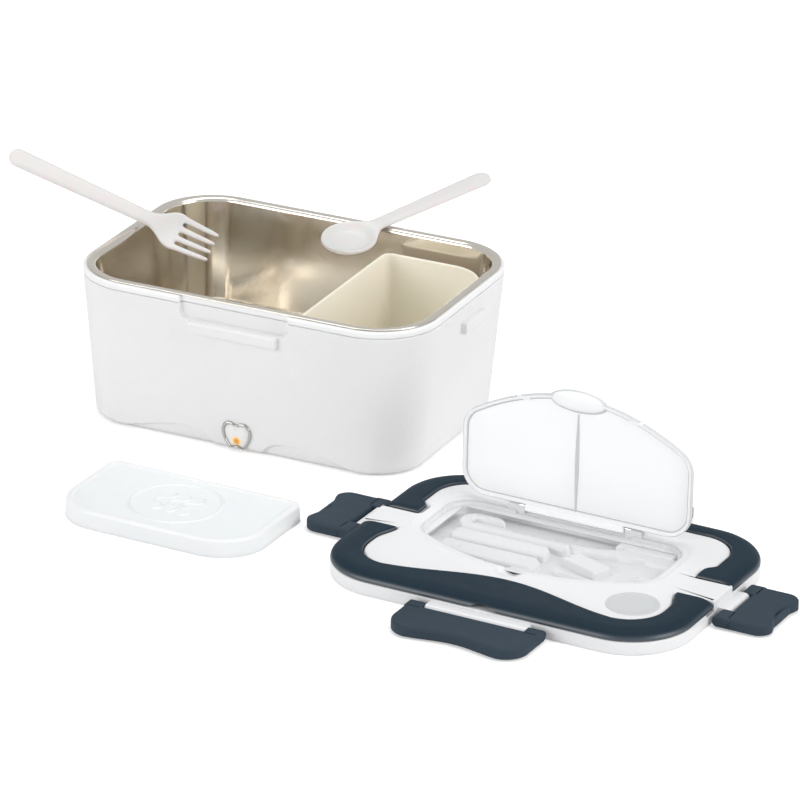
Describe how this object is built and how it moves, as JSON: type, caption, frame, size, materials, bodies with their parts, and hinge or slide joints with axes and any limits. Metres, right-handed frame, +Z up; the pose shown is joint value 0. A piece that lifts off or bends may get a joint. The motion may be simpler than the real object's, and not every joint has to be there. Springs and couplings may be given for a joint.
{
  "type": "electric lunch box",
  "caption": "Electric lunch box taken apart for serving: tapered white base with steel tray and side container, cutlery, small lid, and main lid with latches, handle and clear hinged cover.",
  "frame": {"origin": "centre of the base's footprint, on the table", "axes": "+X along the long side of the base toward the main lid, +Y to the back with the power inlet, +Z up"},
  "size_m": [0.556, 0.4146, 0.1333],
  "materials": {
    "shell_white": "fine grain, satin",
    "grey_plastic": "satin",
    "rubber_grey": "matte",
    "steel": "brushed",
    "aluminium": "satin",
    "ceramic": "glazed",
    "tan_plastic": "satin",
    "black_plastic": "satin",
    "wire_red": "silicone",
    "chrome": "polished",
    "lens_clear": "frosted",
    "lamp_amber": "glowing",
    "board_green": "solder mask",
    "steel_polished": "polished",
    "cream": "satin gloss",
    "pale_white": "satin gloss",
    "lid_white": "satin gloss",
    "seal_grey": "silicone",
    "slate": "satin",
    "cover_clear": "clear plastic"
  },
  "bodies": {
    "base": {"outer_shell": "shell_white", "top_collar": "shell_white", "inner_housing": "grey_plastic", "bottom_cover": "shell_white", "rubber_feet": "rubber_grey", "cover_screws": "steel", "heater_plate": "aluminium", "heating_element": "ceramic", "element_clamp": "steel", "clamp_screws": "steel", "thermostat": "tan_plastic", "thermal_fuse": "ceramic", "heat_shield": "aluminium", "inlet_housing": "black_plastic", "inlet_pins": "steel", "wiring": "wire_red", "indicator_bezel": "chrome", "indicator_lens": "lens_clear", "indicator_lamp": "lamp_amber", "lamp_board": "board_green"},
    "tray": {"steel_tray": "steel_polished"},
    "container": {"inner_container": "cream"},
    "fork": {"fork": "pale_white"},
    "spoon": {"spoon": "pale_white"},
    "container_lid": {"container_lid": "pale_white"},
    "lid": {"lid_shell": "lid_white", "lid_underside": "lid_white", "lid_seal": "seal_grey", "cutlery_insert": "lid_white", "rear_trim": "slate", "handle_pins": "steel", "cover_pins": "steel", "latch_pins": "steel"},
    "handle": {"carry_handle": "slate"},
    "cover": {"cutlery_cover": "cover_clear"},
    "vent": {"vent_plug": "seal_grey"},
    "latch_front": {"front_latch": "slate"},
    "latch_rear": {"rear_latch": "slate"},
    "latch_left": {"left_latch": "slate"},
    "latch_right": {"right_latch": "slate"}
  },
  "joints": [
    {"name": "tray_lift", "type": "slide", "parent": "base", "child": "tray", "axis": [0, 0, 1], "range_m": [0, 0.09]},
    {"name": "container_lift", "type": "slide", "parent": "tray", "child": "container", "axis": [0, 0, 1], "range_m": [0, 0.08]},
    {"name": "fork_lift", "type": "slide", "parent": "tray", "child": "fork", "axis": [0, 0, 1], "range_m": [0, 0.06]},
    {"name": "spoon_lift", "type": "slide", "parent": "tray", "child": "spoon", "axis": [0, 0, 1], "range_m": [0, 0.06]},
    {"name": "container_lid_lift", "type": "slide", "parent": "base", "child": "container_lid", "axis": [0, 0, 1], "range_m": [0, 0.1]},
    {"name": "lid_lift", "type": "slide", "parent": "base", "child": "lid", "axis": [0, 0, 1], "range_m": [0, 0.12]},
    {"name": "vent_lift", "type": "slide", "parent": "lid", "child": "vent", "axis": [0, 0, 1], "range_m": [0, 0.016]},
    {"name": "handle_swing", "type": "hinge", "parent": "lid", "child": "handle", "pos_m": [0.22732, -0.15879, 0.0102], "axis": [-0.9991, 0.0419, 0], "range_deg": [0, 90]},
    {"name": "cover_swing", "type": "hinge", "parent": "lid", "child": "cover", "pos_m": [0.22408, -0.09279, 0.0131], "axis": [0.9991, -0.0419, 0], "range_deg": [0, 90]},
    {"name": "front_latch_fold", "type": "hinge", "parent": "lid", "child": "latch_front", "pos_m": [0.2245, -0.22593, 0.0042], "axis": [0.9991, -0.0419, 0], "range_deg": [-60, 90]},
    {"name": "rear_latch_fold", "type": "hinge", "parent": "lid", "child": "latch_rear", "pos_m": [0.2315, -0.05907, 0.0042], "axis": [-0.9991, 0.0419, 0], "range_deg": [-60, 90]},
    {"name": "right_latch_fold", "type": "hinge", "parent": "lid", "child": "latch_right", "pos_m": [0.34211, -0.14228, 0.0042], "axis": [0.0419, 0.9991, 0], "range_deg": [-60, 90]},
    {"name": "left_latch_fold", "type": "hinge", "parent": "lid", "child": "latch_left", "pos_m": [0.11431, -0.13273, 0.0042], "axis": [-0.0419, -0.9991, 0], "range_deg": [-60, 90]}
  ]
}
